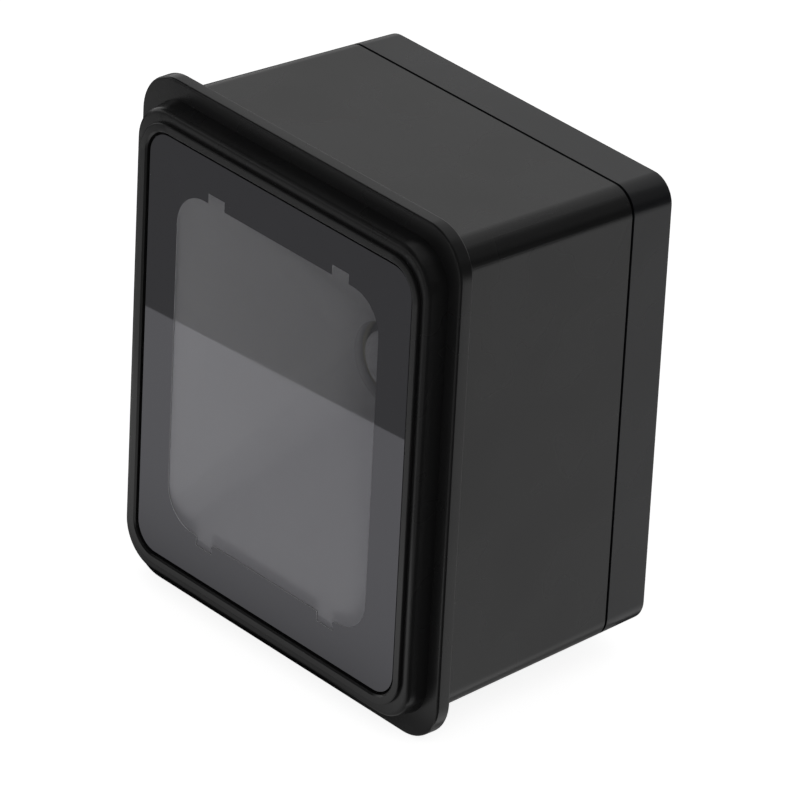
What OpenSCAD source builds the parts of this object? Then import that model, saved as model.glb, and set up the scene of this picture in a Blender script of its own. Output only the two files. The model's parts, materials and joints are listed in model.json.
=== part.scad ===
// Fixed-mount barcode scanner for a panel cut-out: a moulded housing with a flange and a bezel
// round a glass window, a light hood and a camera behind the glass, and a screwed-on rear cover.
// Every piece is drawn with the scanner lying on its back, window up, so that a height is
// measured from the rear face. upright() then stands it up, looking along -Y.

/* [Flange and bezel] */
// Width of the flange
flange_w = 66; // [64:0.5:80]
// Height of the flange
flange_h = 77.5; // [75:0.5:90]
// Thickness of the flange
flange_t = 2.3; // [1.5:0.1:4]
// Corner radius of the flange
flange_r = 6.8; // [4:0.1:12]
// Rounding of the flange's edges
flange_edge = 0.35; // [0.1:0.05:0.7]
// Fillet between the flange's back and the body
root_r = 0.7; // [0.2:0.1:1]
// Width of the bezel's neck at its foot
neck_w = 61.5; // [60.5:0.1:63]
// Height of the bezel's neck at its foot
neck_h = 72.2; // [71:0.1:74]
// Corner radius of the bezel's neck at its foot
neck_r = 6.5; // [4:0.1:8]
// How far the neck draws in from its foot to the shoulder
neck_draft = 0.45; // [0.1:0.05:0.8]
// Height of the bezel's shoulder over the flange
shoulder_h = 3.1; // [2.2:0.1:5]
// Rounding of the bezel's shoulder
shoulder_round = 0.7; // [0.4:0.1:1.5]
// Width of the lip round the glass
lip_w = 1.35; // [0.8:0.05:1.5]
// Height of the lip over the shoulder
lip_h = 0.55; // [0.5:0.05:1.5]
// Rounding of the lip's outer edge
lip_round = 0.2; // [0.1:0.05:0.4]
// Rounding of the lip's inner edge, cut as a chamfer
lip_chamfer = 0.25; // [0.1:0.05:0.4]

/* [Window] */
// Width of the glass
glass_w = 54.3; // [52:0.1:56]
// Height of the glass
glass_h = 64.5; // [62:0.1:67]
// Corner radius of the glass
glass_r = 3.8; // [2:0.1:5]
// Thickness of the glass
glass_t = 1; // [0.7:0.1:1.5]
// Gap between the glass and the lip
glass_gap = 0.4; // [0.1:0.05:0.5]
// Depth of the glass below the top of the lip
glass_sink = 0.45; // [0.3:0.05:1]
// Thickness of the black mask on the front of the glass
mask_t = 0.1; // [0.05:0.05:0.2]
// Width of the mask's border at the sides
border_x = 6.15; // [5.5:0.05:9]
// Width of the mask's border above and below
border_z = 6.55; // [6.2:0.05:10]
// Corner radius of the mask's opening
mask_r = 5.5; // [3:0.1:8]
// Width of a notch in the mask's opening
notch_w = 3.4; // [2:0.1:5]
// Depth of a notch in the mask's opening
notch_d = 1.5; // [0.8:0.1:1.8]
// Distance between the two notches of one edge
notch_pitch = 25.8; // [20:0.1:28]
// Thickness of the adhesive frame that holds the glass
tape_t = 0.5; // [0.2:0.05:0.8]
// Width of the adhesive frame
tape_w = 2.6; // [1.5:0.1:2.8]

/* [Body] */
// Distance from the rear face to the front of the flange
body_d = 40.8; // [40:0.1:60]
// Width of the body behind the flange
body_w = 61.4; // [60.5:0.1:63]
// Height of the body behind the flange
body_h = 71.4; // [70:0.1:74]
// Width of the body at the rear face
rear_w = 59.5; // [59:0.1:60.5]
// Height of the body at the rear face
rear_h = 68.8; // [68:0.1:71]
// Corner radius of the body
body_r = 3.8; // [3:0.1:7]
// Wall between the inside and the outline at the rear face
wall = 1.75; // [1.4:0.05:2]
// Corner radius of the inside
inside_r = 2.5; // [1:0.1:4]
// Thickness of the ledge that the glass is stuck to
ledge_t = 2.2; // [1.5:0.1:3]

/* [Rear cover] */
// Depth of the rear cover up to the seam
cover_d = 7.15; // [6.5:0.05:9]
// Width of the seam, which the gasket fills
seam = 0.45; // [0.3:0.05:0.8]
// Depth of the gasket below the body's surface
seam_sink = 0.5; // [0.2:0.05:0.7]
// Thickness of the rear cover's floor
cover_floor = 2; // [1.6:0.1:3]
// Rounding of the rear face's edge
rear_round = 0.4; // [0.2:0.1:1.5]
// Height of the tongue that centres the rear cover
tongue_h = 2.5; // [1:0.1:4]
// Thickness of the tongue
tongue_t = 1.2; // [0.8:0.1:1.6]
// Clearance round the tongue
tongue_fit = 0.15; // [0.05:0.05:0.3]
// Radius of a corner boss
boss_r = 3.2; // [2.9:0.1:3.6]
// How far a corner boss sinks into the walls
boss_bite = 0.6; // [0.2:0.1:1]
// Radius of the foot where a corner boss meets the cover
boss_foot_r = 2.3; // [1.8:0.1:2.4]
// Rib height on the rear cover's floor
rib_h = 1.4; // [0.5:0.1:2]
// Rib thickness on the rear cover's floor
rib_t = 1.2; // [0.8:0.1:2]

/* [Cover screws] */
// Radius of a cover screw's head
cover_head_r = 2.3; // [2:0.1:2.5]
// Height of a cover screw's head
cover_head_h = 1.6; // [1:0.1:2]
// Radius of a cover screw's shank
cover_shank_r = 1.25; // [1:0.05:1.5]
// Length of a cover screw's shank
cover_shank_l = 12; // [8:0.5:16]
// Depth of a cover screw's head below the rear face
cover_head_sink = 0.5; // [0.2:0.1:1]

/* [Mounting inserts] */
// Distance between the inserts across the width
insert_pitch_x = 40; // [30:0.5:42]
// Distance between the inserts up the height
insert_pitch_z = 44; // [36:0.5:46]
// Outer radius of an insert
insert_r = 2.1; // [1.9:0.05:2.6]
// Radius of an insert's threaded hole, left plain
insert_hole_r = 1.25; // [1:0.05:1.5]
// Length of an insert
insert_l = 4; // [3:0.1:5]
// Wall of the boss round an insert
insert_wall = 1.8; // [1.2:0.1:2.5]

/* [Light hood] */
// Distance from the front of the flange back to the hood's aperture
hood_d = 16.7; // [15:0.1:20]
// Radius of the aperture that the camera looks through
aperture_r = 6; // [5.5:0.1:7]
// Corner radius of the hood's mouth
hood_r = 3; // [2:0.1:6]
// Step from the mask's opening out to the hood's mouth
hood_margin = 1.6; // [0.9:0.1:1.6]
// Wall of the hood at its mouth
hood_wall = 1.6; // [1.2:0.1:1.7]
// Height of the collar between the aperture and the board
collar_h = 1.5; // [1:0.1:3]
// Thickness of the hood's flange
hood_flange_t = 1.5; // [1:0.1:2.5]
// Gap between the hood's flange and the walls
hood_flange_gap = 1.2; // [0.9:0.1:2]
// Gap between the hood and the glass
hood_gap = 0.2; // [0.1:0.05:0.4]
// Height of the tabs that show in the notches
tab_h = 0.12; // [0.05:0.01:0.15]

/* [Boards] */
// Thickness of a circuit board
board_t = 1.6; // [1:0.1:2]
// Height of a circuit board, held clear of the corner bosses
board_h = 51; // [48:0.5:52]
// Length of the spacers between the boards
spacer_l = 4.9; // [4.5:0.1:7]
// Outer radius of a spacer
spacer_r = 2.4; // [2:0.1:3]
// Radius of a column that carries the boards
column_r = 3.4; // [3.2:0.1:3.8]
// Distance between the columns up the height
column_pitch = 36; // [30:0.5:40]
// Radius of a stack screw's shank
stack_shank_r = 1; // [0.8:0.05:1.2]
// Length of a stack screw's shank
stack_shank_l = 14; // [12:0.5:18]
// Radius of a stack screw's head
stack_head_r = 1.9; // [1.6:0.1:2.2]
// Height of a stack screw's head
stack_head_h = 1.4; // [1:0.1:2]
// Radial clearance of a screw in a pilot hole
pilot_fit = 0.04; // [0.02:0.01:0.1]
// Radial clearance of a screw in a passing hole
pass_fit = 0.2; // [0.1:0.05:0.4]
// Clearance between a piece and what it drops into
fit = 0.3; // [0.15:0.05:0.4]

/* [Camera] */
// Distance of the camera above the middle of the window
camera_rise = 1.4; // [0:0.1:2]
// Outer radius of the lens barrel
barrel_r = 4.4; // [4:0.1:5]
// Height of the lens barrel
barrel_h = 4.9; // [4:0.1:6]
// Depth of the barrel's front behind the aperture
barrel_sink = 0.6; // [0.3:0.1:1.5]
// Radius of the lens
lens_r = 2.9; // [2:0.1:3.2]
// Radius of the curve of the lens's front
lens_curve = 6; // [4.5:0.1:10]
// Depth of the seat of a lens in the barrel
lens_seat = 1.3; // [1:0.1:1.5]
// Height of the flare at the barrel's mouth
flare_h = 0.9; // [0.4:0.1:1]
// Wall of the lens holder round the barrel
holder_wall = 1.4; // [1:0.1:1.6]
// Height of the lens holder
holder_h = 5.5; // [4.5:0.1:6.5]
// Distance between the lens holder's two screws
holder_pitch = 17; // [15.5:0.1:20]
// Thickness of the lens holder's foot
holder_foot_t = 2.2; // [1.8:0.1:3]
// Radius of a holder screw's shank
holder_shank_r = 0.8; // [0.6:0.05:1]
// Radius of a holder screw's head
holder_head_r = 1.5; // [1.2:0.1:1.8]
// Height of a holder screw's head
holder_head_h = 0.9; // [0.6:0.1:1.2]
// Width of the image sensor
sensor_w = 6.4; // [5:0.1:6.6]
// Height of the image sensor
sensor_h = 5.6; // [4:0.1:5.8]
// Thickness of the image sensor
sensor_t = 1; // [0.6:0.1:1.5]

/* [Lamps and chips] */
// Length of a light-emitting diode
led_l = 3.5; // [2:0.1:5]
// Width of a light-emitting diode
led_w = 2.8; // [2:0.1:4]
// Thickness of a light-emitting diode
led_t = 0.9; // [0.5:0.1:1.2]
// Inset of the outer diodes from the board's side
led_inset_x = 9; // [7:0.5:10]
// Inset of the diodes from the board's top and bottom
led_inset_z = 5; // [3:0.5:6]
// Side of the square decoder chip
decoder_s = 13; // [10:0.5:14]
// Distance of the decoder chip above the middle of the board
decoder_z = 14; // [12:0.5:16]
// Distance of the memory chips and the beeper beside the middle of the board
memory_x = 14; // [13:0.5:15]
// Distance of the power coil beside the socket's middle
coil_x = 15; // [13:0.5:16]
// Side of a square driver chip
driver_s = 4; // [3:0.5:5]
// Thickness of the chips
chip_t = 1.1; // [0.7:0.1:1.5]
// Width of the memory chip
memory_w = 8; // [6:0.5:9]
// Height of the memory chip
memory_h = 10; // [8:0.5:12]
// Width of the flash chip
flash_w = 6; // [5:0.5:8]
// Height of the flash chip
flash_h = 5; // [4:0.5:6]
// Gap between the memory chip and the flash chip
flash_gap = 2.5; // [1.5:0.5:3]
// Width of a large capacitor
large_w = 1.8; // [1.4:0.1:2]
// Height of a large capacitor
large_h = 3.4; // [2.8:0.1:3.8]
// Thickness of a large capacitor
large_t = 1.6; // [1:0.1:2]
// Width of a small capacitor
small_w = 1.2; // [0.8:0.1:1.4]
// Height of a small capacitor
small_h = 2; // [1.6:0.1:2.4]
// Thickness of a small capacitor
small_t = 0.9; // [0.6:0.1:1.2]
// Gap between the power coil and the large capacitors
large_gap = 2.8; // [1:0.1:3]
// Width of the crystal
crystal_w = 3.2; // [2.5:0.1:5]
// Height of the crystal
crystal_h = 2.5; // [2:0.1:3.2]
// Thickness of the crystal
crystal_t = 0.8; // [0.5:0.1:1]
// Gap between the decoder chip and the crystal
crystal_gap = 1.7; // [1:0.1:2]
// Side of the square power coil
coil_s = 5; // [4:0.5:6]
// Height of the power coil
coil_h = 2.8; // [2:0.1:4]
// Radius of the beeper
beeper_r = 4.8; // [4:0.1:6]
// Height of the beeper
beeper_h = 4.2; // [2.5:0.1:5]

/* [Interface socket] */
// Width of the socket's body
jack_w = 15.9; // [14:0.1:18]
// Height of the socket's body
jack_h = 13.6; // [13:0.1:15]
// Depth of the socket's face below the rear face
jack_sink = 0.5; // [0.2:0.1:1]
// Distance of the socket below the middle of the rear face
jack_drop = 16.5; // [15:0.5:18]
// Width of the opening for the plug
plug_w = 11.8; // [10:0.1:13]
// Height of the opening for the plug
plug_h = 7.2; // [6:0.1:8]
// Wall of the socket between the plug and the main board
jack_back = 2.8; // [2:0.1:4]
// Width of the groove for the plug's latch
latch_w = 6.3; // [4:0.1:8]
// Depth of the groove for the plug's latch
latch_d = 1.7; // [1:0.1:2.2]
// Number of spring contacts
contact_n = 8; // [4:2:10]
// Distance between neighbouring contacts
contact_pitch = 1.02; // [0.9:0.01:1.1]
// Width of a contact
contact_w = 0.4; // [0.3:0.05:0.6]
// Gap between the contacts and the wall of the opening
contact_gap = 0.1; // [0.05:0.05:0.2]
// How far the contacts spring into the opening
contact_reach = 2.2; // [1.5:0.1:2.4]

/* [Hidden] */

// Facets of a full circle in the rounded slabs, and steps of a rounded edge
arc_fn = 64;
edge_steps = 4;
// Steps of the fillet between flange and body
root_steps = 2;
// Thickness of the slices that a tapered body is stretched between
slice = 0.01;
// Overlap of one moulded feature with the next, and of a cut with open air
sunk = 0.5;
$fn = 64;

// Heights over the rear face, from the front backwards
shoulder_top = body_d + shoulder_h;
lip_top = shoulder_top + lip_h;
mask_top = lip_top - glass_sink;
glass_top = mask_top - mask_t;
glass_bottom = glass_top - glass_t;
ledge_top = glass_bottom - tape_t;
ledge_bottom = ledge_top - ledge_t;
flange_bottom = body_d - flange_t;
hood_top = glass_bottom - hood_gap;
aperture_z = body_d - hood_d;
led_board_top = aperture_z - collar_h;
led_board_bottom = led_board_top - board_t;
main_board_top = led_board_bottom - spacer_l;
main_board_bottom = main_board_top - board_t;
housing_rim = cover_d + seam;

// Inside of the housing, and the boards that drop into it
inside_w = rear_w - 2 * wall;
inside_h = rear_h - 2 * wall;
board_w = inside_w - 2 * fit;
recess_w = glass_w + 2 * glass_gap;
recess_h = glass_h + 2 * glass_gap;
recess_r = glass_r + glass_gap;
mask_open_w = glass_w - 2 * border_x;
mask_open_h = glass_h - 2 * border_z;
mouth_w = mask_open_w + 2 * hood_margin;
mouth_h = mask_open_h + 2 * hood_margin;
hood_w = mouth_w + 2 * hood_wall;
hood_h = mouth_h + 2 * hood_wall;
collar_r = aperture_r + hood_wall;

// Centres of the corner bosses, the columns and the inserts, as the corners of rectangles
boss_x = inside_w / 2 - boss_r + boss_bite;
boss_z = inside_h / 2 - boss_r + boss_bite;
column_x = inside_w / 2 - column_r + fit;
column_z = column_pitch / 2;
insert_x = insert_pitch_x / 2;
insert_z = insert_pitch_z / 2;

// Lens holder, which the barrel screws into
holder_r = barrel_r + holder_wall;
barrel_top = aperture_z - barrel_sink;
barrel_bottom = barrel_top - barrel_h;

// Depth of the socket's opening for the plug
plug_d = main_board_bottom - jack_sink - jack_back;

// Lies on its back, window up: this stands it up, looking along -Y
module upright() {
    rotate([90, 0, 0]) children();
}

// Copies its children to the four corners of a rectangle
module corners(x, z) {
    for (sx = [-1, 1], sz = [-1, 1]) translate([sx * x, sz * z, 0]) children();
}

// Flat rectangle with rounded corners
module outline(w, h, r) {
    square([w - 2 * r, h], center = true);
    square([w, h - 2 * r], center = true);
    corners(w / 2 - r, h / 2 - r) circle(r);
}

// Plate with rounded corners, from one height to another
module plate(w, h, r, low, high) {
    translate([0, 0, low]) linear_extrude(high - low) outline(w, h, r);
}

// Disc whose top rim is rounded by high and whose bottom rim by low
module soft_disc(r, t, low, high) {
    turn = 90 / edge_steps;
    low_rim = low > 0 ? [for (i = [0:edge_steps])
        [r - low + low * sin(i * turn), low - low * cos(i * turn)]] : [[r, 0]];
    high_rim = high > 0 ? [for (i = [0:edge_steps])
        [r - high + high * cos(i * turn), t - high + high * sin(i * turn)]] : [[r, t]];
    rotate_extrude($fn = arc_fn) polygon(concat([[0, 0]], low_rim, high_rim, [[0, t]]));
}

// Slab with rounded corners and softened edges
module soft_slab(w, h, r, bottom, top, low, high) {
    hull() corners(w / 2 - r, h / 2 - r) translate([0, 0, bottom]) soft_disc(r, top - bottom, low, high);
}

// Width and height of the drafted body at a height over the rear face
function draft_w(z) = rear_w + (body_w - rear_w) * z / flange_bottom;
function draft_h(z) = rear_h + (body_h - rear_h) * z / flange_bottom;

// One thin slice of the drafted body, or of the fillet that spreads from it
module body_slice(z, spread = 0) {
    translate([0, 0, z]) linear_extrude(slice)
        outline(draft_w(z) + 2 * spread, draft_h(z) + 2 * spread, body_r + spread, $fn = arc_fn);
}

// Slice of the fillet at an angle of its arc, from a little inside the body at 0 to the flange at 90
module root_slice(angle) {
    spread = angle > 0 ? root_r * (1 - cos(angle)) : -root_r / 10;
    body_slice(flange_bottom - root_r * (1 - sin(angle)), spread);
}

// Pan-head screw standing on its head, shank upwards from z = 0
module pan_screw(head_r, head_h, shank_r, shank_l) {
    cylinder(r = shank_r, h = shank_l);
    translate([0, 0, -head_h]) difference() {
        cylinder(r = head_r, h = head_h);
        translate([0, 0, -sunk]) cylinder(r = head_r / 2, h = head_h / 2 + sunk, $fn = 6);
    }
}

// Outside of the front housing: drafted body, flange, bezel shoulder and lip
module housing_outside() {
    hull() {
        body_slice(housing_rim);
        body_slice((flange_bottom + body_d) / 2);
    }
    for (i = [0:root_steps - 1]) hull() {
        root_slice(90 * i / root_steps);
        root_slice(90 * (i + 1) / root_steps);
    }
    soft_slab(flange_w, flange_h, flange_r, flange_bottom, body_d, flange_edge, flange_edge);
    hull() {
        plate(neck_w, neck_h, neck_r, body_d - sunk, body_d - sunk / 2, $fn = arc_fn);
        corners(neck_w / 2 - neck_r, neck_h / 2 - neck_r)
            translate([0, 0, shoulder_top - 2 * shoulder_round])
                soft_disc(neck_r - neck_draft, 2 * shoulder_round, 0, shoulder_round);
    }
    soft_slab(recess_w + 2 * lip_w, recess_h + 2 * lip_w, recess_r + lip_w,
        shoulder_top - sunk, lip_top, 0, lip_round);
}

// One moulding: walls, flange, bezel, ledge for the glass, corner bosses and board columns
module front_housing() {
    color("#232325") upright() difference() {
        union() {
            difference() {
                housing_outside();
                plate(inside_w, inside_h, inside_r, housing_rim - sunk, ledge_bottom);
            }
            corners(boss_x, boss_z) {
                translate([0, 0, housing_rim])
                    cylinder(r = boss_r, h = ledge_bottom - housing_rim + sunk);
                translate([0, 0, cover_d]) cylinder(r = boss_foot_r, h = seam + sunk);
            }
            corners(column_x, column_z) translate([0, 0, led_board_top])
                cylinder(r = column_r, h = ledge_bottom - led_board_top + sunk);
        }
        plate(recess_w, recess_h, recess_r, ledge_top, lip_top + sunk);
        hull() {
            plate(recess_w, recess_h, recess_r, lip_top - lip_chamfer, lip_top, $fn = arc_fn);
            plate(recess_w + 2 * lip_chamfer, recess_h + 2 * lip_chamfer, recess_r + lip_chamfer,
                lip_top, lip_top + sunk, $fn = arc_fn);
        }
        plate(hood_w + 2 * fit, hood_h + 2 * fit, hood_r + hood_wall + fit,
            ledge_bottom - sunk, ledge_top + sunk);
        corners(boss_x, boss_z) translate([0, 0, cover_d - sunk])
            cylinder(r = cover_shank_r + pilot_fit, h = cover_shank_l + sunk);
        corners(column_x, column_z) translate([0, 0, led_board_top - sunk])
            cylinder(r = stack_shank_r + pilot_fit, h = stack_shank_l - spacer_l - board_t);
    }
}

// Cover glass in the bezel
module window_glass() {
    color("#3a3c40", 0.5) upright() plate(glass_w, glass_h, glass_r, glass_bottom, glass_top);
}

// Opening of the mask with its four notches
module mask_opening() {
    outline(mask_open_w, mask_open_h, mask_r);
    square_h = mask_open_h + 2 * notch_d;
    for (s = [-1, 1]) translate([s * notch_pitch / 2, 0]) square([notch_w, square_h], center = true);
}

// Black border fired on the front of the glass
module window_mask() {
    color("#101012") upright() translate([0, 0, glass_top]) linear_extrude(mask_t) difference() {
        outline(glass_w, glass_h, glass_r);
        mask_opening();
    }
}

// Adhesive frame between the glass and the ledge
module window_tape() {
    inner_r = 2;
    outer_w = glass_w - 2 * fit;
    outer_h = glass_h - 2 * fit;
    color("#17171a") upright() translate([0, 0, ledge_top]) linear_extrude(tape_t) difference() {
        outline(outer_w, outer_h, glass_r - fit);
        outline(outer_w - 2 * tape_w, outer_h - 2 * tape_w, inner_r);
    }
}

// Milky hood: its mouth fills the window, and it narrows to the camera's round aperture
module light_hood() {
    color("#c9cacd") upright() difference() {
        union() {
            hull() {
                plate(hood_w, hood_h, hood_r + hood_wall, hood_top - slice, hood_top, $fn = arc_fn);
                translate([0, camera_rise, led_board_top])
                    cylinder(r = collar_r, h = slice, $fn = arc_fn);
            }
            plate(hood_w, hood_h, hood_r + hood_wall, ledge_bottom, hood_top);
            plate(inside_w - 2 * hood_flange_gap, inside_h - 2 * hood_flange_gap, inside_r,
                ledge_bottom - hood_flange_t, ledge_bottom);
            for (sx = [-1, 1], sz = [-1, 1])
                translate([sx * notch_pitch / 2, sz * (mouth_h + hood_wall) / 2, hood_top])
                    linear_extrude(tab_h) square([notch_w - fit, hood_wall], center = true);
        }
        hull() {
            plate(mouth_w, mouth_h, hood_r, hood_top, hood_top + sunk, $fn = arc_fn);
            translate([0, camera_rise, aperture_z])
                cylinder(r = aperture_r, h = slice, $fn = arc_fn);
        }
        translate([0, camera_rise, led_board_top - sunk])
            cylinder(r = aperture_r, h = collar_h + 2 * sunk);
        corners(boss_x, boss_z) translate([0, 0, aperture_z])
            cylinder(r = boss_r + fit, h = ledge_bottom - aperture_z);
        corners(column_x, column_z) translate([0, 0, aperture_z])
            cylinder(r = column_r + fit, h = ledge_bottom - aperture_z);
    }
}

// Circuit board with the four holes of the stack screws
module board(bottom) {
    board_r = 1;
    translate([0, 0, bottom]) linear_extrude(board_t) difference() {
        outline(board_w, board_h, board_r);
        corners(column_x, column_z) circle(stack_shank_r + pass_fit);
        children();
    }
}

// Board of the lamps, with a hole for the camera
module led_board() {
    color("#1d5b3a") upright() board(led_board_bottom)
        translate([0, camera_rise]) circle(holder_r + fit);
}

// Lamp places: two beside each other above and below, and one row on each side
module led_places() {
    outer_x = board_w / 2 - led_inset_x;
    outer_z = board_h / 2 - led_inset_z;
    for (sz = [-1, 1], sx = [-1, 0, 1]) translate([sx * outer_x, sz * outer_z, led_board_top]) children();
    for (sx = [-1, 1], sz = [-1, 1]) translate([sx * outer_x, sz * outer_z / 3, led_board_top]) children();
}

// White lamps that shine through the hood
module illumination_leds() {
    color("#f0e6a8") upright() led_places() {
        translate([-led_l / 2, -led_w / 2, 0]) cube([led_l, led_w, led_t * 0.6]);
        cylinder(r = led_w * 0.4, h = led_t);
    }
}

// Current drivers on the back of the lamp board
module led_drivers() {
    driver_x = 16;
    color("#202022") upright() for (s = [-1, 1])
        translate([s * driver_x - driver_s / 2, -driver_s / 2, led_board_bottom - chip_t])
            cube([driver_s, driver_s, chip_t]);
}

// Tubes that hold the two boards apart
module board_spacers() {
    color("#b8bbc0") upright() corners(column_x, column_z) translate([0, 0, main_board_top])
        difference() {
            cylinder(r = spacer_r, h = spacer_l);
            translate([0, 0, -sunk]) cylinder(r = stack_shank_r + pass_fit, h = spacer_l + 2 * sunk);
        }
}

// Screws that clamp both boards and the hood to the columns
module stack_screws() {
    color("#8d9096") upright() corners(column_x, column_z) translate([0, 0, main_board_bottom])
        pan_screw(stack_head_r, stack_head_h, stack_shank_r, stack_shank_l);
}

// Black tube of the camera lens, flared at its mouth
module lens_barrel() {
    rim = 0.5;
    color("#141416") upright() translate([0, camera_rise, barrel_bottom]) difference() {
        cylinder(r = barrel_r, h = barrel_h);
        translate([0, 0, -sunk]) cylinder(r = lens_r - rim, h = barrel_h + 2 * sunk);
        translate([0, 0, barrel_h - flare_h])
            cylinder(r1 = lens_r + pilot_fit, r2 = lens_r + pilot_fit + flare_h, h = flare_h + slice);
        translate([0, 0, barrel_h - flare_h - lens_seat])
            cylinder(r = lens_r + pilot_fit, h = lens_seat + slice);
        translate([0, 0, -sunk]) cylinder(r = lens_r + pilot_fit, h = lens_seat + sunk);
    }
}

// Lens with a flat back and a curved front, standing on z = 0
module lens(thick) {
    intersection() {
        cylinder(r = lens_r, h = thick);
        translate([0, 0, thick - lens_curve]) sphere(lens_curve);
    }
}

// Lens at the mouth of the barrel
module front_lens() {
    color("#5b7fa6", 0.6) upright() translate([0, camera_rise, barrel_top - flare_h - lens_seat])
        lens(lens_seat + flare_h / 2);
}

// Lens at the back of the barrel
module rear_lens() {
    color("#5b7fa6", 0.6) upright() translate([0, camera_rise, barrel_bottom + lens_seat])
        mirror([0, 0, 1]) lens(lens_seat);
}

// Holder that stands over the image sensor and takes the barrel
module lens_holder() {
    foot_h = 2 * (holder_head_r + fit);
    foot_w = holder_pitch + foot_h;
    color("#1a1a1c") upright() translate([0, camera_rise, main_board_top]) difference() {
        union() {
            cylinder(r = holder_r, h = holder_h);
            linear_extrude(holder_foot_t) outline(foot_w, foot_h, foot_h / 3);
            linear_extrude(holder_foot_t) square(2 * holder_r, center = true);
        }
        translate([0, 0, -sunk]) cylinder(r = barrel_r + pilot_fit, h = holder_h + 2 * sunk);
        for (s = [-1, 1]) translate([s * holder_pitch / 2, 0, -sunk])
            cylinder(r = holder_shank_r + pilot_fit, h = holder_foot_t + 2 * sunk);
    }
}

// Two screws that hold the lens holder from behind the board
module holder_screws() {
    color("#8d9096") upright() for (s = [-1, 1])
        translate([s * holder_pitch / 2, camera_rise, main_board_bottom])
            pan_screw(holder_head_r, holder_head_h, holder_shank_r, board_t + holder_foot_t);
}

// Image sensor on the main board
module image_sensor() {
    color("#3c4a3f") upright()
        translate([-sensor_w / 2, camera_rise - sensor_h / 2, main_board_top])
            cube([sensor_w, sensor_h, sensor_t]);
}

// Board of the decoder and the interface
module main_board() {
    color("#1d5b3a") upright() board(main_board_bottom)
        for (s = [-1, 1]) translate([s * holder_pitch / 2, camera_rise])
            circle(holder_shank_r + pass_fit);
}

// Pin strip that joins the two boards
module board_connector() {
    strip_w = 12;
    strip_h = 3.2;
    inset = 2;
    color("#25262a") upright() translate([-strip_w / 2, board_h / 2 - strip_h - inset, main_board_top])
        cube([strip_w, strip_h, spacer_l]);
}

// Flat chip on the back of the main board, centred on a place
module back_chip(x, z, w, h, t) {
    translate([x - w / 2, z - h / 2, main_board_bottom - t]) cube([w, h, t]);
}

// Chip that finds and reads the codes
module decoder_chip() {
    color("#1c1c1f") upright() back_chip(0, decoder_z, decoder_s, decoder_s, chip_t);
}

// Working memory
module memory_chip() {
    color("#26262a") upright() back_chip(memory_x, decoder_z, memory_w, memory_h, chip_t);
}

// Program memory
module flash_chip() {
    flash_z = decoder_z - (memory_h + flash_h) / 2 - flash_gap;
    color("#26262a") upright() back_chip(memory_x, flash_z, flash_w, flash_h, chip_t);
}

// Coil of the power converter
module power_coil() {
    color("#4a4b4f") upright() back_chip(coil_x, -jack_drop, coil_s, coil_s, coil_h);
}

// Capacitors on both sides of the power converter
module filter_capacitors() {
    row_z = -jack_drop + (coil_s + large_h) / 2 + large_gap;
    large_pitch = large_w + small_w;
    small_pitch = 2 * small_w;
    color("#a07a3a") upright() {
        for (i = [-1:1]) back_chip(coil_x + i * large_pitch, row_z, large_w, large_h, large_t);
        for (i = [-2:2]) back_chip(-coil_x + i * small_pitch, row_z, small_w, small_h, small_t);
    }
}

// Clock crystal
module clock_crystal() {
    crystal_z = decoder_z - (decoder_s + crystal_h) / 2 - crystal_gap;
    color("#c4c6ca") upright() back_chip(0, crystal_z, crystal_w, crystal_h, crystal_t);
}

// Beeper
module beeper() {
    hole_r = 0.9;
    hole_d = 1;
    color("#18181a") upright() translate([-memory_x, decoder_z, main_board_bottom - beeper_h])
        difference() {
            cylinder(r = beeper_r, h = beeper_h);
            translate([0, 0, -sunk]) cylinder(r = hole_r, h = hole_d + sunk);
        }
}

// Section of the plug's opening, with the stepped groove for its latch
module plug_section() {
    square([plug_w, plug_h], center = true);
    translate([0, -(plug_h + latch_d) / 2]) square([latch_w, latch_d + slice], center = true);
}

// Modular socket on the main board, facing the rear
module interface_socket() {
    color("#1b1b1d") upright() difference() {
        translate([-jack_w / 2, -jack_drop - jack_h / 2, jack_sink])
            cube([jack_w, jack_h, main_board_bottom - jack_sink]);
        translate([0, -jack_drop, jack_sink - sunk]) linear_extrude(plug_d + sunk) plug_section();
    }
}

// Spring contacts of the socket, bent back from its far wall
module socket_contacts() {
    wire = 0.35;
    bend = 1;
    far = jack_sink + plug_d;
    tip = jack_sink + plug_d / 3;
    root = plug_h / 2 - contact_gap;
    side = [
        [root, far], [root - wire, far], [root - wire, far - bend],
        [root - contact_reach, tip], [root - contact_reach + wire, tip - wire / 2],
        [root, far - bend],
    ];
    color("#c9a24a") upright() translate([0, -jack_drop, 0]) for (i = [0:contact_n - 1])
        translate([(i - (contact_n - 1) / 2) * contact_pitch - contact_w / 2, 0, 0])
            rotate([90, 0, 90]) linear_extrude(contact_w) polygon(side);
}

// Rubber gasket in the seam, a little below the body's surface
module cover_gasket() {
    color("#0c0c0d") upright() translate([0, 0, cover_d]) linear_extrude(seam) difference() {
        outline(draft_w(cover_d) - 2 * seam_sink, draft_h(cover_d) - 2 * seam_sink, body_r - seam_sink);
        outline(inside_w + tongue_fit, inside_h + tongue_fit, inside_r);
    }
}

// Outside of the rear cover: the draft of the body carried on to a softened rear edge
module cover_outside() {
    hull() {
        body_slice(cover_d - slice);
        corners(rear_w / 2 - body_r, rear_h / 2 - body_r) soft_disc(body_r, 2 * rear_round, rear_round, 0);
    }
}

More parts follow.
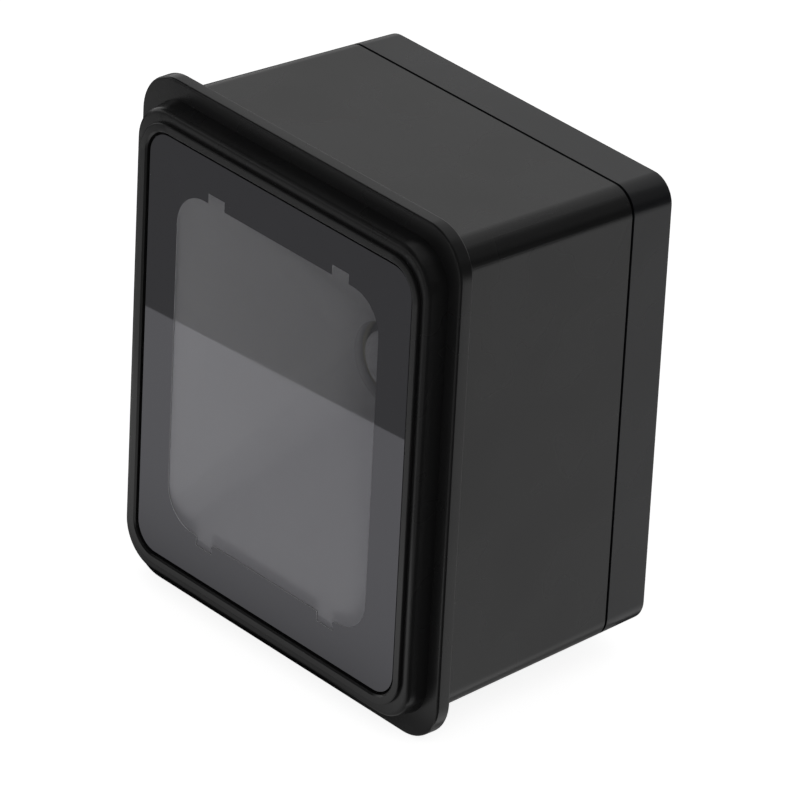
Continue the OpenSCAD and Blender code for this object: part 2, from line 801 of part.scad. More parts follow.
// One moulding: floor, walls, tongue, corner posts, insert bosses and ribs
module rear_cover() {
    tongue_w = inside_w - 2 * tongue_fit;
    tongue_high = inside_h - 2 * tongue_fit;
    pocket_w = tongue_w - 2 * tongue_t;
    pocket_h = tongue_high - 2 * tongue_t;
    pocket_r = 1.2;
    insert_boss_h = insert_l + rib_t;
    color("#242428") upright() difference() {
        union() {
            difference() {
                union() {
                    cover_outside();
                    plate(tongue_w, tongue_high, inside_r, cover_d - sunk, cover_d + tongue_h);
                }
                plate(pocket_w, pocket_h, pocket_r, cover_floor, cover_d + tongue_h + sunk);
                corners(boss_x, boss_z) translate([0, 0, cover_d])
                    cylinder(r = boss_r + tongue_fit, h = tongue_h + sunk);
            }
            corners(boss_x, boss_z) translate([0, 0, cover_floor - sunk])
                cylinder(r = boss_r, h = cover_d - cover_floor + sunk);
            corners(insert_x, insert_z) translate([0, 0, cover_floor - sunk])
                cylinder(r = insert_r + insert_wall, h = insert_boss_h - cover_floor + sunk);
            for (s = [-1, 1])
                translate([s * insert_x - rib_t / 2, -pocket_h / 2 - sunk, cover_floor - sunk])
                    cube([rib_t, pocket_h + 2 * sunk, rib_h + sunk]);
            translate([-pocket_w / 2 - sunk, insert_z - rib_t / 2, cover_floor - sunk])
                cube([pocket_w + 2 * sunk, rib_t, rib_h + sunk]);
        }
        translate([-jack_w / 2 - fit, -jack_drop - jack_h / 2 - fit, -sunk])
            cube([jack_w + 2 * fit, jack_h + 2 * fit, cover_floor + rib_h + 2 * sunk]);
        corners(boss_x, boss_z) translate([0, 0, -sunk]) {
            cylinder(r = cover_shank_r + pass_fit, h = cover_d + 2 * sunk);
            cylinder(r = cover_head_r + pass_fit, h = cover_head_h + cover_head_sink + sunk);
        }
        corners(insert_x, insert_z) translate([0, 0, -sunk])
            cylinder(r = insert_r + pilot_fit / 2, h = insert_l + sunk);
    }
}

// Screws that hold the rear cover to the corner bosses
module cover_screws() {
    color("#6f7278") upright() corners(boss_x, boss_z) translate([0, 0, cover_head_sink + cover_head_h])
        pan_screw(cover_head_r, cover_head_h, cover_shank_r, cover_shank_l);
}

// Brass inserts that the scanner is screwed on by
module mounting_inserts() {
    color("#b08d4a") upright() corners(insert_x, insert_z) difference() {
        cylinder(r = insert_r, h = insert_l);
        translate([0, 0, -sunk]) cylinder(r = insert_hole_r, h = insert_l + 2 * sunk);
    }
}

front_housing();
window_glass();
window_mask();
window_tape();
light_hood();
led_board();
illumination_leds();
led_drivers();
board_spacers();
stack_screws();
lens_barrel();
front_lens();
rear_lens();
lens_holder();
holder_screws();
image_sensor();
main_board();
board_connector();
decoder_chip();
memory_chip();
flash_chip();
power_coil();
filter_capacitors();
clock_crystal();
beeper();
interface_socket();
socket_contacts();
cover_gasket();
rear_cover();
cover_screws();
mounting_inserts();
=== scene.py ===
"""Looks of a fixed-mount barcode scanner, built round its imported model. All sizes are in metres."""

import json
import math

import bmesh
import bpy
from mathutils import Matrix, Vector

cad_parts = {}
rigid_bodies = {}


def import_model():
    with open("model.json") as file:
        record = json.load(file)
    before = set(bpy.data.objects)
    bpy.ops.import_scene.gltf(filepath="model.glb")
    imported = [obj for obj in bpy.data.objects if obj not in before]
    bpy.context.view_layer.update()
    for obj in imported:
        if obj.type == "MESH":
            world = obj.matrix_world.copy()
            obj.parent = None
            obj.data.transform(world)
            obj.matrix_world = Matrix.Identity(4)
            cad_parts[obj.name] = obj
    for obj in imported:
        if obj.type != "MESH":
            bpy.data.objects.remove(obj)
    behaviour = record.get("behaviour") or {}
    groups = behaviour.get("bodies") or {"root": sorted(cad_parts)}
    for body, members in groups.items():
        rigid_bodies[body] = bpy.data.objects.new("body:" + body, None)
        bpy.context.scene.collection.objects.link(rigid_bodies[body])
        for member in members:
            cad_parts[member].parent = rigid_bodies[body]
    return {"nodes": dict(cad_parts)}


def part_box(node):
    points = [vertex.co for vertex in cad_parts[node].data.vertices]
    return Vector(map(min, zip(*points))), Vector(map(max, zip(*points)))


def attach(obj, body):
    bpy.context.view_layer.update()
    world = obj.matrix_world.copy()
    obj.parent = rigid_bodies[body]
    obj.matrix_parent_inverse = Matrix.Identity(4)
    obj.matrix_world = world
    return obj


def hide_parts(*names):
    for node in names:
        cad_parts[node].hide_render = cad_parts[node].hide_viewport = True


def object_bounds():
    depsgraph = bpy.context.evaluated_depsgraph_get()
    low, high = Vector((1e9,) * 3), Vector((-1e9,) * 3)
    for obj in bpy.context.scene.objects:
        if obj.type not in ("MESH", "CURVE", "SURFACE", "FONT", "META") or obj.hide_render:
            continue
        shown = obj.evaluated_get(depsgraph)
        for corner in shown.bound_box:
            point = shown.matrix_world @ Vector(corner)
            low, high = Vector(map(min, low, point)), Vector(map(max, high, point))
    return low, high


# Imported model: the scanner's rigid pieces, which every finish and every added piece below is
# fitted to. The lamp, cube and camera that Blender starts with are cleared first.
for leftover in list(bpy.data.objects):
    bpy.data.objects.remove(leftover)
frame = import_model()
nodes = frame["nodes"]
cad_low, cad_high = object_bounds()

# Front housing: one black injection moulding with the tapered body, the flange and the bezel.
# The mould was spark-eroded very finely, so the plastic has a satin grain. Its roundings are
# blended into the flat walls, with a crease only where two walls meet at a real edge.
MILLIMETRE = 0.001


def dressed(piece, material):
    """Gives a piece one finish, in place of what it came with."""
    piece.data.materials.clear()
    piece.data.materials.append(material)
    return piece


def blank_finish(name, colour, roughness, metallic=0.0):
    """New material with its plain colour and gloss on the shader. Returns it, its tree and the shader."""
    material = bpy.data.materials.new(name)
    material.use_nodes = True
    shader = material.node_tree.nodes["Principled BSDF"]
    shader.inputs["Base Color"].default_value = (*colour, 1)
    shader.inputs["Roughness"].default_value = roughness
    shader.inputs["Metallic"].default_value = metallic
    return material, material.node_tree, shader


def noise_on(tree, size, detail=3.0, stretch=(1, 1, 1)):
    """Noise whose lumps have the given size, fixed to the piece."""
    place = tree.nodes.new("ShaderNodeTexCoord")
    turn = tree.nodes.new("ShaderNodeMapping")
    turn.inputs["Scale"].default_value = stretch
    noise = tree.nodes.new("ShaderNodeTexNoise")
    noise.inputs["Scale"].default_value = 1 / size
    noise.inputs["Detail"].default_value = detail
    tree.links.new(place.outputs["Object"], turn.inputs["Vector"])
    tree.links.new(turn.outputs["Vector"], noise.inputs["Vector"])
    return noise.outputs["Fac"]


def spread(tree, fac, low, high):
    """Maps noise, which stays near its middle, onto a range."""
    noise_low = 0.2
    noise_high = 0.8
    wider = tree.nodes.new("ShaderNodeMapRange")
    wider.interpolation_type = "SMOOTHERSTEP"
    wider.inputs["From Min"].default_value = noise_low
    wider.inputs["From Max"].default_value = noise_high
    wider.inputs["To Min"].default_value = low
    wider.inputs["To Max"].default_value = high
    tree.links.new(fac, wider.inputs["Value"])
    return wider.outputs["Result"]


def blend_of(tree, fac, first, second):
    """Colour between two others, which are sockets or plain colours."""
    mix = tree.nodes.new("ShaderNodeMix")
    mix.data_type = "RGBA"
    tree.links.new(fac, mix.inputs["Factor"])
    for socket, colour in zip((mix.inputs[6], mix.inputs[7]), (first, second)):
        if isinstance(colour, bpy.types.NodeSocket):
            tree.links.new(colour, socket)
        else:
            socket.default_value = (*colour, 1)
    return mix.outputs[2]


def relief_from(tree, shader, height, depth):
    """Turns a height socket into relief of the given depth."""
    bump = tree.nodes.new("ShaderNodeBump")
    bump.inputs["Distance"].default_value = depth
    tree.links.new(height, bump.inputs["Height"])
    tree.links.new(bump.outputs["Normal"], shader.inputs["Normal"])


def moulded_plastic(name, colour, roughness, grain, depth, gloss_level=0.5, mottle=0.08):
    """Plastic with an eroded grain, and a faint unevenness in colour and gloss from the flow."""
    flow_size = 14 * MILLIMETRE
    uneven = 0.03
    material, tree, shader = blank_finish(name, colour, roughness)
    shader.inputs["Specular IOR Level"].default_value = gloss_level
    flow = noise_on(tree, flow_size, detail=2)
    dark = [c * (1 - mottle) for c in colour]
    light = [c * (1 + mottle) for c in colour]
    tree.links.new(blend_of(tree, flow, dark, light), shader.inputs["Base Color"])
    tree.links.new(spread(tree, flow, roughness - uneven, roughness + uneven), shader.inputs["Roughness"])
    relief_from(tree, shader, noise_on(tree, grain), depth)
    return material


def shape_tree(name, inputs):
    """Geometry tree with named inputs, given as label and kind. Returns it, its input and its output."""
    tree = bpy.data.node_groups.new(name, "GeometryNodeTree")
    for label, kind in [("Geometry", "Geometry")] + inputs:
        tree.interface.new_socket(label, in_out="INPUT", socket_type="NodeSocket" + kind)
    tree.interface.new_socket("Geometry", in_out="OUTPUT", socket_type="NodeSocketGeometry")
    return tree, tree.nodes.new("NodeGroupInput"), tree.nodes.new("NodeGroupOutput")


def input_keys(tree):
    """What a modifier calls each named input of a tree."""
    return {item.name: item.identifier for item in tree.interface.items_tree if item.in_out == "INPUT"}


def crease_tree():
    """Joins a mesh's loose triangles and shades it smooth, apart from edges sharper than an angle."""
    inputs = [("Join distance", "Float"), ("Crease angle", "Float")]
    tree, source, result = shape_tree("Blended roundings", inputs)
    plain = tree.nodes.new("GeometryNodeRemoveAttribute")
    plain.inputs["Name"].default_value = "custom_normal"
    join = tree.nodes.new("GeometryNodeMergeByDistance")
    edge_angle = tree.nodes.new("GeometryNodeInputMeshEdgeAngle")
    sharper = tree.nodes.new("FunctionNodeCompare")
    sharper.data_type = "FLOAT"
    sharper.operation = "GREATER_THAN"
    crease = tree.nodes.new("GeometryNodeStoreNamedAttribute")
    crease.data_type = "BOOLEAN"
    crease.domain = "EDGE"
    crease.inputs["Name"].default_value = "sharp_edge"
    smooth = tree.nodes.new("GeometryNodeSetShadeSmooth")
    link = tree.links.new
    link(source.outputs["Geometry"], plain.inputs["Geometry"])
    link(plain.outputs["Geometry"], join.inputs["Geometry"])
    link(source.outputs["Join distance"], join.inputs["Distance"])
    link(join.outputs["Geometry"], crease.inputs["Geometry"])
    link(edge_angle.outputs["Unsigned Angle"], sharper.inputs[0])
    link(source.outputs["Crease angle"], sharper.inputs[1])
    link(sharper.outputs["Result"], crease.inputs["Value"])
    link(crease.outputs["Geometry"], smooth.inputs["Geometry"])
    link(smooth.outputs["Geometry"], result.inputs["Geometry"])
    return tree


BLENDED = crease_tree()
BLENDED_KEYS = input_keys(BLENDED)


def rounded_off(piece, crease_degrees=35):
    """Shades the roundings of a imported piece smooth, and keeps its flat walls flat."""
    join_distance = 0.005 * MILLIMETRE
    most_weight = 100
    joined = piece.modifiers.new("Blended roundings", "NODES")
    joined.node_group = BLENDED
    joined[BLENDED_KEYS["Join distance"]] = join_distance
    joined[BLENDED_KEYS["Crease angle"]] = math.radians(crease_degrees)
    flat = piece.modifiers.new("Flat walls", "WEIGHTED_NORMAL")
    flat.keep_sharp = True
    flat.weight = most_weight
    return piece


satin = {"roughness": 0.28, "grain": 0.16 * MILLIMETRE, "depth": 0.002 * MILLIMETRE, "gloss_level": 0.32}
housing_plastic = moulded_plastic("Black moulded housing", (0.0125, 0.0125, 0.0128), **satin)
rounded_off(dressed(nodes["front_housing"], housing_plastic))


# Cover glass: a flat pane with ground edges, dropped into the bezel's recess. Its front face has a
# smoke-grey coating, which mirrors the studio a little bluer and lets less than half of the light
# through. Its back face is left clear.
def coordinate(tree, kind, axis):
    """X, Y or Z of a point's place (kind Object) or of the way its face looks (kind Normal)."""
    place = tree.nodes.new("ShaderNodeTexCoord")
    parts = tree.nodes.new("ShaderNodeSeparateXYZ")
    tree.links.new(place.outputs[kind], parts.inputs["Vector"])
    return parts.outputs[axis]


def along_axis(tree, axis, first, last, from_value, to_value):
    """Value that changes evenly from one place on the piece's axis to another, and stays beyond them."""
    ramp = tree.nodes.new("ShaderNodeMapRange")
    ramp.inputs["From Min"].default_value = first
    ramp.inputs["From Max"].default_value = last
    ramp.inputs["To Min"].default_value = from_value
    ramp.inputs["To Max"].default_value = to_value
    tree.links.new(coordinate(tree, "Object", axis), ramp.inputs["Value"])
    return ramp.outputs["Result"]


polish = 0.01
smear_unevenness = 0.004
coated_ior = 2.13
coat_opacity = 0.6
smear_size = 9 * MILLIMETRE
edge_grind = 0.1 * MILLIMETRE
smoked_glass, glass_tree, glass_shader = blank_finish("Smoked cover glass", (0.012, 0.012, 0.014), polish)
glass_shader.inputs["IOR"].default_value = coated_ior
glass_shader.inputs["Specular Tint"].default_value = (0.91, 0.9, 1, 1)
smear = noise_on(glass_tree, smear_size, detail=2)
glass_gloss = spread(glass_tree, smear, polish - smear_unevenness, polish + smear_unevenness)
glass_tree.links.new(glass_gloss, glass_shader.inputs["Roughness"])
pane_low, pane_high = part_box("window_glass")
coating = along_axis(glass_tree, "Y", pane_low.y + edge_grind, pane_high.y - edge_grind, coat_opacity, 0)
glass_tree.links.new(coating, glass_shader.inputs["Alpha"])
rounded_off(dressed(nodes["window_glass"], smoked_glass))


# Mask: a border of glossy black enamel, fired on the face of the glass. It mirrors the studio as
# the glass does. The sides of its opening are painted paler, and most of all the lower ones that
# face up: painted light that fills the shade falling on these thin sides.
def worked_out(tree, operation, *values):
    """Result of one sum on sockets and plain numbers."""
    node = tree.nodes.new("ShaderNodeMath")
    node.operation = operation
    for socket, value in zip(node.inputs, values):
        if isinstance(value, bpy.types.NodeSocket):
            tree.links.new(value, socket)
        else:
            socket.default_value = value
    return node.outputs[0]


def flatness(tree):
    """1 on the faces that look along Y, and 0 on the ones beside them."""
    return worked_out(tree, "ABSOLUTE", coordinate(tree, "Normal", "Y"))


def uprightness(tree, sharpness):
    """1 on the faces that look straight up, falling to 0 on walls. More sharpness makes it fall sooner."""
    facing_up = worked_out(tree, "MAXIMUM", coordinate(tree, "Normal", "Z"), 0)
    return worked_out(tree, "POWER", facing_up, sharpness)


def opening_sides(tree, half_width, half_height):
    """1 on a border's inner sides, whichever way they look, and 0 on its flats and outer sides."""
    halfway = 0.5
    inside = []
    for axis, limit in (("X", half_width), ("Z", half_height)):
        reach = worked_out(tree, "ABSOLUTE", coordinate(tree, "Object", axis))
        inside.append(worked_out(tree, "LESS_THAN", reach, limit))
    side = worked_out(tree, "LESS_THAN", flatness(tree), halfway)
    return worked_out(tree, "MULTIPLY", worked_out(tree, "MULTIPLY", *inside), side)


fired_gloss = 0.01
fired_unevenness = 0.004
enamel_ior = 1.53
enamel_flow_size = 12 * MILLIMETRE
outer_sides = 2 * MILLIMETRE
enamel_black = (0.025, 0.025, 0.0265)
enamel, enamel_tree, enamel_shader = blank_finish("Black fired enamel", enamel_black, fired_gloss)
enamel_shader.inputs["IOR"].default_value = enamel_ior
enamel_shader.inputs["Specular Tint"].default_value = (0.88, 0.87, 1, 1)
enamel_flow = noise_on(enamel_tree, enamel_flow_size, detail=2)
mask_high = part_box("window_mask")[1]
# Painted light: the opening's sides are painted grey, and paler where they face up, against their shade.
enamel_tone_and_painted_side_light = blend_of(
    enamel_tree,
    opening_sides(enamel_tree, mask_high.x - outer_sides, mask_high.z - outer_sides),
    blend_of(enamel_tree, enamel_flow, (0.024, 0.024, 0.0255), (0.026, 0.026, 0.0275)),
    blend_of(enamel_tree, uprightness(enamel_tree, sharpness=3), (0.19, 0.19, 0.195), (0.58, 0.58, 0.59)),
)
enamel_tree.links.new(enamel_tone_and_painted_side_light, enamel_shader.inputs["Base Color"])
enamel_gloss = spread(
    enamel_tree, enamel_flow, fired_gloss - fired_unevenness, fired_gloss + fired_unevenness
)
enamel_tree.links.new(enamel_gloss, enamel_shader.inputs["Roughness"])
rounded_off(dressed(nodes["window_mask"], enamel))

# Adhesive frame: black closed-cell foam tape, cut to the outline of the glass. It is sticky on both
# faces, and holds the glass on the ledge of the housing's recess.
foam = moulded_plastic(
    "Black foam tape", (0.02, 0.02, 0.021), roughness=0.85, grain=0.12 * MILLIMETRE,
    depth=0.04 * MILLIMETRE, gloss_level=0.2, mottle=0.25,
)
dressed(nodes["window_tape"], foam)

# Light hood: a milky moulding that spreads the lamps' light over the whole window. It narrows
# and thins from the window to the camera's round aperture. Its colour is painted lighter towards
# its mouth, a painted light that fills the shade the mask casts there. A short collar stands
# behind the aperture, painted lighter still where shade falls inside it.
collar_l = 1.5 * MILLIMETRE
collar_change = 0.3 * MILLIMETRE
light_reach = 3 * MILLIMETRE
cloud_size = 11 * MILLIMETRE
hood_grain = 0.3 * MILLIMETRE
hood_grain_depth = 0.004 * MILLIMETRE
milky, milky_tree, milky_shader = blank_finish("Milky light hood", (0.5, 0.5, 0.52), 0.42)
milky_shader.inputs["Subsurface Weight"].default_value = 0.9
milky_shader.inputs["Subsurface Radius"].default_value = (1, 1, 0.95)
milky_shader.inputs["Subsurface Scale"].default_value = light_reach
cloud = noise_on(milky_tree, cloud_size, detail=2)
hood_low, hood_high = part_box("light_hood")
collar_start = hood_high.y - collar_l
# Painted light: the colour grows lighter towards the mouth, against the mask's shade, over a random cloud.
cloud_tone_and_painted_mouth_light = blend_of(
    milky_tree,
    worked_out(milky_tree, "SQRT", along_axis(milky_tree, "Y", hood_low.y, hood_high.y, 0, 1)),
    blend_of(milky_tree, cloud, (0.61, 0.61, 0.62), (0.66, 0.66, 0.668)),
    blend_of(milky_tree, cloud, (0.44, 0.44, 0.45), (0.47, 0.47, 0.476)),
)
# Painted light: the collar is painted lighter than the deep funnel, against the shade inside it.
painted_collar_light_mask = along_axis(milky_tree, "Y", collar_start, collar_start + collar_change, 0, 1)
hood_tone_and_painted_light = blend_of(milky_tree, painted_collar_light_mask, cloud_tone_and_painted_mouth_light, (0.58, 0.58, 0.59))
milky_tree.links.new(hood_tone_and_painted_light, milky_shader.inputs["Base Color"])
relief_from(milky_tree, milky_shader, noise_on(milky_tree, hood_grain), hood_grain_depth)
rounded_off(dressed(nodes["light_hood"], milky), crease_degrees=30)


# Circuit boards: green solder resist over copper tracks on glass laminate. The tracks run in
# straight lanes under the resist, and the cut edges and holes show the bare straw-grey laminate.
def laminate_finish(name, resist, track, bare):
    """Solder resist with lighter lanes where copper lies under it, and bare edges."""
    lane_l = 4.2 * MILLIMETRE
    lane_w = 0.8 * MILLIMETRE
    track_w = 0.14 * MILLIMETRE
    copper_h = 0.02 * MILLIMETRE
    darker_lane = [c * 0.86 for c in resist]
    material, tree, shader = blank_finish(name, resist, 0.32)
    place = tree.nodes.new("ShaderNodeTexCoord")
    lanes = tree.nodes.new("ShaderNodeTexBrick")
    lanes.inputs["Scale"].default_value = 1
    lanes.inputs["Brick Width"].default_value = lane_l
    lanes.inputs["Row Height"].default_value = lane_w
    lanes.inputs["Mortar Size"].default_value = track_w
    lanes.inputs["Color1"].default_value = (*resist, 1)
    lanes.inputs["Color2"].default_value = (*darker_lane, 1)
    lanes.inputs["Mortar"].default_value = (*track, 1)
    upright = tree.nodes.new("ShaderNodeMapping")
    upright.inputs["Rotation"].default_value = (math.radians(90), 0, 0)
    tree.links.new(place.outputs["Object"], upright.inputs["Vector"])
    tree.links.new(upright.outputs["Vector"], lanes.inputs["Vector"])
    tone = blend_of(tree, flatness(tree), bare, lanes.outputs["Color"])
    tree.links.new(tone, shader.inputs["Base Color"])
    relief_from(tree, shader, lanes.outputs["Fac"], copper_h)
    return material


green_laminate = laminate_finish(
    "Green laminate", resist=(0.012, 0.09, 0.035), track=(0.03, 0.19, 0.07), bare=(0.5, 0.49, 0.4)
)
for board in ("led_board", "main_board"):
    dressed(nodes[board], green_laminate)

# Lamps: white surface-mounted packages, each round a cup of yellow phosphor. They are soldered to
# the front board, round the hood.
phosphor_size = 0.8 * MILLIMETRE
package_grain = 0.2 * MILLIMETRE
package_grain_depth = 0.01 * MILLIMETRE
package_white = (0.88, 0.86, 0.78)
phosphor_yellow = (0.82, 0.6, 0.1)
lamp, lamp_tree, lamp_shader = blank_finish("Lamp package", (0.85, 0.83, 0.72), 0.35)
phosphor = noise_on(lamp_tree, phosphor_size)
lamp_tone = blend_of(lamp_tree, phosphor, package_white, phosphor_yellow)
lamp_tree.links.new(lamp_tone, lamp_shader.inputs["Base Color"])
relief_from(lamp_tree, lamp_shader, noise_on(lamp_tree, package_grain), package_grain_depth)
dressed(nodes["illumination_leds"], lamp)

# Chips: black epoxy bodies with a fine matt grain from the mould, soldered flat on the boards. They
# are the two lamp drivers, the decoder and its two memories.
epoxy = moulded_plastic(
    "Black chip epoxy", (0.02, 0.02, 0.022), roughness=0.6, grain=0.08 * MILLIMETRE,
    depth=0.008 * MILLIMETRE, gloss_level=0.4, mottle=0.2,
)
for chip in ("led_drivers", "decoder_chip", "memory_chip", "flash_chip"):
    dressed(nodes[chip], epoxy)


# Spacers, stack screws, holder screws and the crystal's can: zinc-plated or nickelled steel,
# turned or pressed, with fine marks that run round it.
def plated_metal(name, colour, roughness, mark):
    """Metal with fine marks of the given size, stretched along one way."""
    mark_depth = 0.004 * MILLIMETRE
    mark_stretch = (1, 0.08, 1)
    patch = 20 * mark
    smoother = 0.08
    rougher = 0.1
    material, tree, shader = blank_finish(name, colour, roughness, metallic=1.0)
    marks = noise_on(tree, mark, detail=4, stretch=mark_stretch)
    gloss = spread(tree, marks, roughness - smoother, roughness + rougher)
    tree.links.new(gloss, shader.inputs["Roughness"])
    dull = [c * 0.88 for c in colour]
    bright = [min(1, c * 1.06) for c in colour]
    tone = blend_of(tree, noise_on(tree, patch, detail=2), dull, bright)
    tree.links.new(tone, shader.inputs["Base Color"])
    relief_from(tree, shader, marks, mark_depth)
    return material


zinc = plated_metal("Bright zinc plate", (0.6, 0.61, 0.63), roughness=0.28, mark=0.06 * MILLIMETRE)
for part in ("board_spacers", "stack_screws", "holder_screws", "clock_crystal"):
    rounded_off(dressed(nodes[part], zinc))

# Reading camera: a pale barrel screwed into a moulded holder over the image sensor, with a coated
# lens at each end. The flare at its mouth lies just behind the hood's aperture.
barrel_plastic = moulded_plastic(
    "Pale grey barrel", (0.53, 0.53, 0.545), roughness=0.5, grain=0.1 * MILLIMETRE,
    depth=0.004 * MILLIMETRE,
)
rounded_off(dressed(nodes["lens_barrel"], barrel_plastic))
lens_ior = 1.6
lens_opacity = 0.85
tint_patch = 3 * MILLIMETRE
coated, coated_tree, coated_shader = blank_finish("Coated lens", (0.56, 0.57, 0.62), 0.08)
coated_shader.inputs["IOR"].default_value = lens_ior
coated_shader.inputs["Alpha"].default_value = lens_opacity
tint = noise_on(coated_tree, tint_patch)
lens_tone = blend_of(coated_tree, tint, (0.54, 0.57, 0.62), (0.59, 0.57, 0.63))
coated_tree.links.new(lens_tone, coated_shader.inputs["Base Color"])
for lens in ("front_lens", "rear_lens"):
    rounded_off(dressed(nodes[lens], coated))
holder_plastic = moulded_plastic(
    "Grey lens holder", (0.2, 0.2, 0.205), roughness=0.5, grain=0.1 * MILLIMETRE,
    depth=0.01 * MILLIMETRE,
)
rounded_off(dressed(nodes["lens_holder"], holder_plastic))
sensor_lid = moulded_plastic(
    "Sensor under its lid", (0.035, 0.05, 0.04), roughness=0.12, grain=0.05 * MILLIMETRE,
    depth=0.001 * MILLIMETRE, gloss_level=0.6, mottle=0.4,
)
dressed(nodes["image_sensor"], sensor_lid)

# Small parts of the main board: a pressed ferrite coil, fired ceramic capacitors, a pin strip, the
# beeper in its case and the modular socket. The last three are moulded in the same glass-filled
# black plastic.
ferrite = moulded_plastic(
    "Grey ferrite", (0.06, 0.06, 0.064), roughness=0.55, grain=0.15 * MILLIMETRE,
    depth=0.02 * MILLIMETRE, mottle=0.3,
)
dressed(nodes["power_coil"], ferrite)
ceramic = moulded_plastic(
    "Fired ceramic", (0.3, 0.18, 0.075), roughness=0.4, grain=0.12 * MILLIMETRE,
    depth=0.006 * MILLIMETRE, mottle=0.25,
)
dressed(nodes["filter_capacitors"], ceramic)
filled_plastic = moulded_plastic(
    "Glass-filled black plastic", (0.018, 0.018, 0.019), roughness=0.45, grain=0.2 * MILLIMETRE,
    depth=0.012 * MILLIMETRE,
)
for part in ("board_connector", "beeper", "interface_socket"):
    rounded_off(dressed(nodes[part], filled_plastic))

# Socket contacts: eight phosphor-bronze springs with a gold flash. They are bent back into the
# socket from its far wall, and press on the plug.
gold = plated_metal("Gold flash", (0.83, 0.6, 0.22), roughness=0.25, mark=0.05 * MILLIMETRE)
dressed(nodes["socket_contacts"], gold)

# Gasket: a frame of moulded black silicone, pressed in the seam between the housing and the cover.
# It lies a little below the body's surface.
silicone = moulded_plastic(
    "Black silicone", (0.008, 0.008, 0.008), roughness=0.7, grain=0.3 * MILLIMETRE,
    depth=0.01 * MILLIMETRE, gloss_level=0.3,
)
rounded_off(dressed(nodes["cover_gasket"], silicone))

# Rear cover: moulded in another batch of the same plastic, which came out a little bluer. It is
# screwed on at its four corners.
cover_plastic = moulded_plastic("Black moulded cover", (0.0125, 0.013, 0.015), **satin)
rounded_off(dressed(nodes["rear_cover"], cover_plastic))


# Cover screws: black zinc-plated pan heads with a six-lobed recess, sunk in the cover's corners.
# One screw is turned in code, and a node tree sets it at the four corners, each turned
# differently, as screws end up.
def lathe(mesh, profile, steps, lobes):
    """Turns a profile of (radius, height, depth of the lobes) round +Z, closed at both poles."""
    rings = []
    for radius, height, wave in profile:
        ring = []
        for step in range(steps):
            angle = 2 * math.pi * step / steps
            reach = radius * (1 + wave * math.cos(lobes * angle))
            ring.append(mesh.verts.new((reach * math.cos(angle), reach * math.sin(angle), height)))
        rings.append(ring)
    for lower, upper in zip(rings, rings[1:]):
        for step in range(steps):
            after = (step + 1) % steps
            mesh.faces.new((lower[step], lower[after], upper[after], upper[step]))
    mesh.faces.new(rings[0][::-1])
    mesh.faces.new(rings[-1])


def turned_screw(name, head_r, head_h, shank_r, shank_l):
    """Pan-head screw with its seat at z = 0, its head up and its shank down, threaded."""
    thread_pitch = 0.5 * MILLIMETRE
    tip_r = 0.4 * shank_r
    thread_root_r = 0.84 * shank_r
    edge = 0.2 * head_h
    edge_steps = 4
    crown_steps = 6
    recess_r = 0.52 * head_r
    crown_inner_r = 1.2 * recess_r
    rim_r = 1.16 * recess_r
    recess_floor = 0.4 * head_h
    lobes = 6
    lobe_depth = 0.14
    steps_round = 72
    merge_distance = 1e-7
    profile = [(tip_r, -shank_l, 0)]
    turns = int((shank_l - 2 * thread_pitch) / thread_pitch)
    for turn in range(turns):
        low = -shank_l + thread_pitch * (1 + turn)
        profile.append((thread_root_r, low, 0))
        profile.append((shank_r, low + thread_pitch / 2, 0))
    profile.append((thread_root_r, -thread_pitch, 0))
    profile.append((thread_root_r, 0, 0))
    profile.append((head_r - edge / 2, 0, 0))
    for step in range(edge_steps + 1):
        angle = math.radians(-90 + 90 * step / edge_steps)
        profile.append((head_r - edge + edge * math.cos(angle), edge + edge * math.sin(angle), 0))
    for step in range(1, crown_steps):
        angle = math.radians(90 * step / crown_steps)
        profile.append((
            crown_inner_r + (head_r - crown_inner_r) * math.cos(angle),
            edge + (head_h - edge) * math.sin(angle), 0,
        ))
    profile.append((rim_r, head_h, 0))
    profile.append((recess_r, head_h, lobe_depth))
    profile.append((0.97 * recess_r, 0.94 * head_h, lobe_depth))
    profile.append((0.95 * recess_r, recess_floor, lobe_depth))
    profile.append((0.3 * recess_r, recess_floor - 0.05 * head_h, 0))
    mesh = bmesh.new()
    lathe(mesh, profile, steps_round, lobes)
    bmesh.ops.remove_doubles(mesh, verts=mesh.verts, dist=merge_distance)
    bmesh.ops.recalc_face_normals(mesh, faces=mesh.faces)
    data = bpy.data.meshes.new(name)
    mesh.to_mesh(data)
    mesh.free()
    data.shade_smooth()
    return bpy.data.objects.new(name, data)


def set_at_corners(tree, source, result, shape, tilt_degrees):
    """Copies a shape to the corners of an upright rectangle and coats it. Returns what copies it."""
    corners = tree.nodes.new("GeometryNodeMeshGrid")
    corners.inputs["Vertices X"].default_value = 2
    corners.inputs["Vertices Y"].default_value = 2
    copies = tree.nodes.new("GeometryNodeInstanceOnPoints")
    stand = tree.nodes.new("GeometryNodeTransform")
    stand.inputs["Rotation"].default_value = (math.radians(tilt_degrees), 0, 0)
    offset = tree.nodes.new("ShaderNodeCombineXYZ")
    whole = tree.nodes.new("GeometryNodeRealizeInstances")
    coat = tree.nodes.new("GeometryNodeSetMaterial")
    link = tree.links.new
    link(source.outputs["Width"], corners.inputs["Size X"])
    link(source.outputs["Height"], corners.inputs["Size Y"])
    link(corners.outputs["Mesh"], copies.inputs["Points"])
    link(shape, copies.inputs["Instance"])
    link(copies.outputs["Instances"], stand.inputs["Geometry"])
    link(source.outputs["Depth"], offset.inputs["Y"])
    link(offset.outputs["Vector"], stand.inputs["Translation"])
    link(stand.outputs["Geometry"], whole.inputs["Geometry"])
    link(whole.outputs["Geometry"], coat.inputs["Geometry"])
    link(source.outputs["Finish"], coat.inputs["Material"])
    link(coat.outputs["Geometry"], result.inputs["Geometry"])
    return copies


CORNER_INPUTS = [("Width", "Float"), ("Height", "Float"), ("Depth", "Float"), ("Finish", "Material")]


